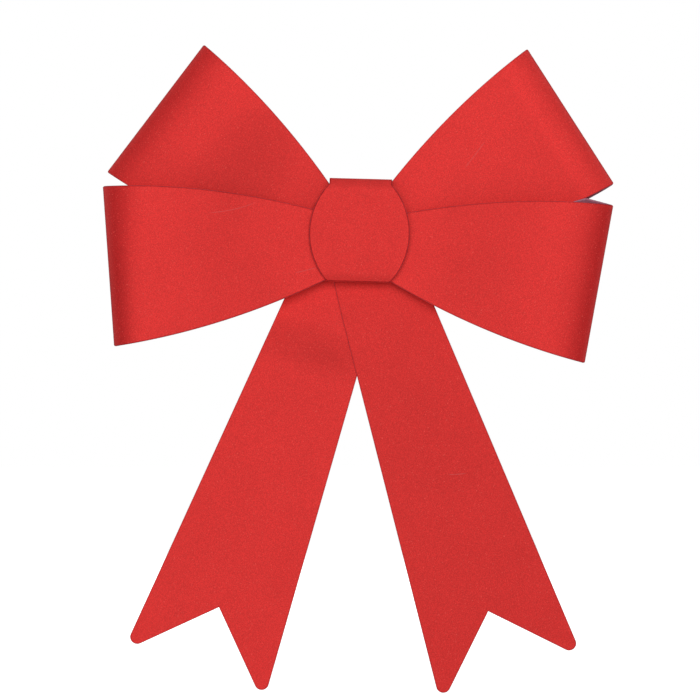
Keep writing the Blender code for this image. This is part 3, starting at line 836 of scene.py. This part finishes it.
def tail_grid(tail, depth):
    points = np.zeros((TAIL_ROWS + 1, TAIL_COLUMNS + 1, 3))
    values = {key: np.zeros(points.shape[:2]) for key in ("along", "across", "edge")}
    lean = tail["lean"]
    top_width = tail_side(-TAIL_TOP)
    for column in range(TAIL_COLUMNS + 1):
        # Columns crowd towards the sides, where the tip is round.
        side = math.sin(math.pi / 2 * (2.0 * column / TAIL_COLUMNS - 1.0))
        # The tail's width at its bottom depends on how far down that is.
        bottom = tail_bottom(abs(side) * TAIL_EDGE_X)
        for _ in range(TAIL_SETTLING_ROUNDS):
            bottom = tail_bottom(abs(side) * min(tail_side(bottom), TAIL_EDGE_X))
        top = tail_top(abs(side) * top_width, top_width)
        for row in range(TAIL_ROWS + 1):
            down = top + (bottom - top) * row / TAIL_ROWS
            half_width = min(tail_side(down), TAIL_EDGE_X)
            x = tail["offset"] + side * half_width
            points[row, column] = (
                x * math.cos(lean) - down * math.sin(lean),
                depth - tail_forward(math.hypot(x, max(down, 0.0)), tail["sweep"]),
                -x * math.sin(lean) - down * math.cos(lean),
            )
            values["along"][row, column] = down
            values["across"][row, column] = x
            to_side = (1.0 - abs(side)) * half_width
            values["edge"][row, column] = min(to_side, bottom - down, down - top)
    return points, values


def build_tail(name, tail, materials):
    points, values = tail_grid(tail, TAIL_Y[name])
    sheet_piece(sheet_mesh(name + "_sheet", points, values), materials, name, name, [RIVET_HOLE])


# ---------------------------------------------------------------- knot band


def arc(centre, radius, start, end, steps):
    """Points of an arc after its first, with angles from +X towards +Y."""
    points = []
    for i in range(1, steps + 1):
        angle = start + (end - start) * i / steps
        points.append(
            (centre[0] + radius * math.cos(angle), centre[1] + radius * math.sin(angle))
        )
    return points


def line_to(points, end):
    """Adds evenly spaced points from the last one to the end."""
    start = points[-1]
    length = math.dist(start, end)
    steps = max(math.ceil(length / BAND_STEP), 1)
    for i in range(1, steps + 1):
        t = i / steps
        points.append((start[0] + (end[0] - start[0]) * t, start[1] + (end[1] - start[1]) * t))


def band_line(front_y, inner_y, outer_y):
    """The band's centre line as (depth, height), from its inner end to its outer end."""
    bottom = BAND_BOTTOM + SHEET / 2
    top = BAND_TOP - SHEET / 2
    corner = BAND_CORNER
    roll = BAND_TOP_ROLL
    quarter = math.pi / 2
    line = [(inner_y, BAND_INNER_END)]
    line_to(line, (inner_y, bottom + corner))
    line += arc((inner_y - corner, bottom + corner), corner, 0.0, -quarter, BAND_CORNER_STEPS)
    line_to(line, (front_y + corner, bottom))
    for depth, height in arc((0.0, 0.0), 1.0, -quarter, -2 * quarter, BAND_ROLL_STEPS):
        line.append(
            (front_y + corner * (1.0 + depth), bottom + BAND_BOTTOM_ROLL * (1.0 + height))
        )
    line_to(line, (front_y, top - roll))
    line += arc((front_y + roll, top - roll), roll, 2 * quarter, quarter, BAND_ROLL_STEPS)
    line_to(line, (outer_y - corner, top))
    line += arc((outer_y - corner, top - corner), corner, quarter, 0.0, BAND_CORNER_STEPS)
    line_to(line, (outer_y, BAND_OUTER_END))
    return line


def band_half_width(behind_front, height):
    """Half the band's width: it bulges to a barrel on its front and is even behind it."""
    radius = (BAND_HALF_CHORD**2 + BAND_BULGE**2) / (2 * BAND_BULGE)
    away = min(abs(height - BAND_MIDDLE), BAND_HALF_CHORD)
    bulge = math.sqrt(radius**2 - away**2) - (radius - BAND_BULGE)
    on_front = 1.0 - smooth_step((behind_front - 0.3 * BAND_CORNER) / (0.5 * BAND_CORNER))
    return BAND_HALF_WIDTH + bulge * on_front


def band_crown(behind_front, height):
    """How far the middle of the band's front stands forward."""
    share = max(1.0 - ((height - BAND_MIDDLE) / BAND_HALF_CHORD) ** 2, 0.0)
    return BAND_CROWN * share * (1.0 - smooth_step(behind_front / BAND_CORNER))


def band_grid(line, front_y):
    points = np.zeros((len(line), BAND_COLUMNS + 1, 3))
    values = {key: np.zeros(points.shape[:2]) for key in ("along", "edge")}
    for row, (depth, height) in enumerate(line):
        half_width = band_half_width(depth - front_y, height)
        crown = band_crown(depth - front_y, height)
        for column in range(BAND_COLUMNS + 1):
            side = 1.0 - 2.0 * column / BAND_COLUMNS
            x = side * half_width
            points[row, column] = (
                BAND_CENTRE.x + x * math.cos(BAND_TILT) + height * math.sin(BAND_TILT),
                depth - crown,
                BAND_CENTRE.z - x * math.sin(BAND_TILT) + height * math.cos(BAND_TILT),
            )
            to_edge = (1.0 - abs(side)) * half_width
            if depth < FIRST_LEAF_Y:
                # Painted shade: the dark edge line is also laid where the front bends under, for
                # the crisp shadow below the band.
                to_edge = min(to_edge, max(height - (BAND_BOTTOM + BAND_BEND_LINE), 0.0))
            values["along"][row, column] = height
            values["edge"][row, column] = to_edge
    return points, values


def band_holes(ply_y, staple_z):
    """The rivet's hole and the staple's two, through the two rear plies only."""
    holes = [(HOLE_RADIUS, (0.0, ply_y, 0.0), PLY_HOLE_LENGTH)]
    for side in (-1.0, 1.0):
        x = side * STAPLE_HALF * math.cos(BAND_TILT)
        z = staple_z - side * STAPLE_HALF * math.sin(BAND_TILT)
        holes.append((STAPLE_HOLE_RADIUS, (x, ply_y, z), PLY_HOLE_LENGTH))
    return holes


def build_band(materials):
    outer_y = TAIL_Y["right_tail"] - LAYER
    inner_y = outer_y - LAYER
    front_y = FIRST_LEAF_Y - SHEET - 2 * GAP - RIVET_HEAD_THICK
    points, values = band_grid(band_line(front_y, inner_y, outer_y), front_y)
    staple_low, staple_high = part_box("band_staple")
    holes = band_holes((inner_y + outer_y) / 2, (staple_low.z + staple_high.z) / 2)
    mesh = sheet_mesh("knot_band_sheet", points, values)
    sheet_piece(mesh, materials, "knot", "knot_band", holes)


# ---------------------------------------------------------------- twist tie


def ribbon_section():
    """The tie's cross-section as (thickness, height): flat wings and a ridge over the wire."""
    wing = TIE_WING_SHARE * TIE_THICK
    ridge = TIE_THICK / 2
    side = []
    for high in TIE_SECTION_HEIGHTS:
        thick = wing + (ridge - wing) * math.exp(-((high / TIE_RIDGE_WIDTH) ** 2))
        into_round = max(high - TIE_ROUND_FROM, 0.0) / (TIE_HEIGHT / 2 - TIE_ROUND_FROM)
        side.append((thick * math.sqrt(max(1.0 - into_round**2, 0.0)), high))
    left_up = [(-thick, high) for thick, high in reversed(side[:-1])]
    left_down = [(-thick, -high) for thick, high in side[1:]]
    right_down = [(thick, -high) for thick, high in reversed(side[1:-1])]
    return side + left_up + left_down + right_down


def wire_section():
    section = []
    for i in range(WIRE_STEPS):
        angle = 2 * math.pi * i / WIRE_STEPS
        section.append((WIRE_RADIUS * math.cos(angle), WIRE_RADIUS * math.sin(angle)))
    return section


def tie_path(side, pivot, start, end):
    """Points and headings of a lead's middle line, from start to end past the pivot."""
    path = []
    steps = math.ceil((end - start) / TIE_STEP)
    x, y = pivot.x + side * start, pivot.y
    step = (end - start) / steps
    for i in range(steps + 1):
        past = start + step * i
        turn = TIE_SWEEP * smooth_step((past + TIE_BEND_HALF) / (2 * TIE_BEND_HALF))
        heading = Vector((side * math.cos(turn), math.sin(turn), 0.0))
        path.append((Vector((x, y, pivot.z)), heading))
        x += heading.x * step
        y += heading.y * step
    return path


def sweep_mesh(name, path, section, taper_end):
    """A closed sweep of a section along a level path, its far end drawn in if asked."""
    shape = bmesh.new()
    rings = []
    for i, (point, heading) in enumerate(path):
        across = Vector((-heading.y, heading.x, 0.0))
        shrink = TIE_END_SHRINK if taper_end and i == len(path) - 1 else 1.0
        ring = []
        for thick, high in section:
            place = point + across * thick * shrink + Vector((0.0, 0.0, high * shrink))
            ring.append(shape.verts.new(place))
        rings.append(ring)
    for ring, following in zip(rings, rings[1:]):
        for j in range(len(ring)):
            k = (j + 1) % len(ring)
            shape.faces.new((ring[j], ring[k], following[k], following[j]))
    shape.faces.new(rings[0][::-1])
    shape.faces.new(rings[-1])
    bmesh.ops.recalc_face_normals(shape, faces=shape.faces)
    mesh = bpy.data.meshes.new(name)
    shape.to_mesh(mesh)
    shape.free()
    mesh.shade_smooth()
    mesh.set_sharp_from_angle(angle=SHARP_TIE)
    return mesh


def tie_object(mesh, material, nodes):
    mesh.materials.append(material)
    obj = bpy.data.objects.new(mesh.name, mesh)
    bpy.context.scene.collection.objects.link(obj)
    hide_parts(*nodes)
    return obj


def build_tie_lead(word, side, pivot, skin, wire):
    """One lead's ribbon and wire, which bend at the pivot."""
    body = "tie_" + word + "_lead"
    start = TIE_SEAM_X - abs(pivot.x)
    path = tie_path(side, pivot, start, TIE_LENGTH)
    mesh = sweep_mesh(body + "_ribbon", path, ribbon_section(), True)
    ribbon = tie_object(mesh, skin, ["tie_" + word + "_coating"])
    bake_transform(ribbon)
    path = tie_path(side, pivot, start, TIE_LENGTH + TIE_BARE_END)
    mesh = sweep_mesh(body + "_core", path, wire_section(), True)
    core = tie_object(mesh, wire, ["tie_" + word + "_wire"])
    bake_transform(core)


def build_tie_middle(pivot, skin):
    """The length that is threaded through the band. Its wire can't be seen."""
    heading = Vector((1.0, 0.0, 0.0))
    path = []
    for x in np.linspace(-TIE_SEAM_X, TIE_SEAM_X, TIE_MIDDLE_POINTS):
        path.append((Vector((x, pivot.y, pivot.z)), heading))
    mesh = sweep_mesh("tie_middle_ribbon", path, ribbon_section(), False)
    nodes = ["tie_middle_coating", "tie_middle_wire"]
    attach(tie_object(mesh, skin, nodes), "knot")


def build_tie():
    skin = tie_material()
    wire = steel_material("tie_core_steel", TIE_CORE_STEEL, 0)
    joints = {joint["name"]: joint for joint in frame["record"]["behaviour"]["joints"]}
    for word, side in (("left", -1.0), ("right", 1.0)):
        pivot = Vector(joints["tie_" + word + "_bend"]["pos_m"])
        build_tie_lead(word, side, pivot, skin, wire)
    build_tie_middle(pivot, skin)


# ---------------------------------------------------------------- hard parts and stage


def paint(node, material):
    slots = frame["nodes"][node].data.materials
    slots.clear()
    slots.append(material)


def white_surround():
    world = bpy.data.worlds.new("studio")
    bpy.context.scene.world = world
    world.use_nodes = True
    nodes, links = world.node_tree.nodes, world.node_tree.links
    background = nodes["Background"]
    background.inputs["Color"].default_value = (1.0, 1.0, 1.0, 1.0)
    rays = nodes.new("ShaderNodeLightPath")
    strength = nodes.new("ShaderNodeMapRange")
    strength.inputs[3].default_value = WORLD_LIGHT
    strength.inputs[4].default_value = 1.0
    links.new(rays.outputs["Is Camera Ray"], strength.inputs["Value"])
    links.new(strength.outputs["Result"], background.inputs["Strength"])


def floor(level):
    g = Graph("studio_floor")
    tone = g.vary(g.noise(3.0), 0.83, 0.87)
    g.set(Base_Color=g.grey(tone), Roughness=0.9, Emission_Color=(1.0, 1.0, 1.0, 1.0))
    # The glow whitens the floor for the camera only, so that it lights nothing.
    seen = g.add("ShaderNodeLightPath").outputs["Is Camera Ray"]
    g.set(Emission_Strength=g.math("MULTIPLY", seen, FLOOR_GLOW))
    shape = bmesh.new()
    bmesh.ops.create_grid(shape, x_segments=8, y_segments=8, size=FLOOR_HALF_SIZE)
    bmesh.ops.translate(shape, verts=shape.verts, vec=(0.0, 0.0, level))
    mesh = bpy.data.meshes.new("studio_floor")
    shape.to_mesh(mesh)
    shape.free()
    mesh.materials.append(g.material)
    obj = bpy.data.objects.new("studio_floor", mesh)
    bpy.context.scene.collection.objects.link(obj)


def soft_light(name, place, size, energy, target):
    light = bpy.data.lights.new(name, "AREA")
    light.shape = "SQUARE"
    light.size = size
    light.energy = energy
    obj = bpy.data.objects.new(name, light)
    obj.location = place
    obj.rotation_mode = "QUATERNION"
    obj.rotation_quaternion = (Vector(target) - Vector(place)).to_track_quat("-Z", "Y")
    bpy.context.scene.collection.objects.link(obj)


def camera():
    data = bpy.data.cameras.new("front")
    data.sensor_width = CAMERA_SENSOR
    data.lens = data.sensor_width * CAMERA_DISTANCE / FRAME_WIDTH
    obj = bpy.data.objects.new("front", data)
    obj.location = (CAMERA_X, -CAMERA_DISTANCE + FIRST_LEAF_Y, CAMERA_Z)
    obj.rotation_euler = (math.pi / 2, 0.0, 0.0)
    bpy.context.scene.collection.objects.link(obj)
    bpy.context.scene.camera = obj


# ---------------------------------------------------------------- assembly

backing = backing_material()
cut_edge = cut_edge_material()
sheets = {name: (velvet_material(name, *nap_and_light), backing, cut_edge) for name, nap_and_light in NAP_AND_PAINTED_LIGHT.items()}

for name, loop in LOOPS.items():
    build_loop(name, loop, sheets[name])
for name, tail in TAILS.items():
    build_tail(name, tail, sheets[name])
build_band(sheets["knot_band"])
build_tie()
for name, steel in STEEL_PARTS.items():
    paint(name, steel_material(*steel))

white_surround()
floor(cad_box[0].z - FLOOR_GAP)
for name, (place, size, energy) in LIGHTS.items():
    soft_light(name, place, size, energy, (cad_box[0] + cad_box[1]) / 2)
camera()
bpy.context.scene.view_settings.view_transform = "Standard"
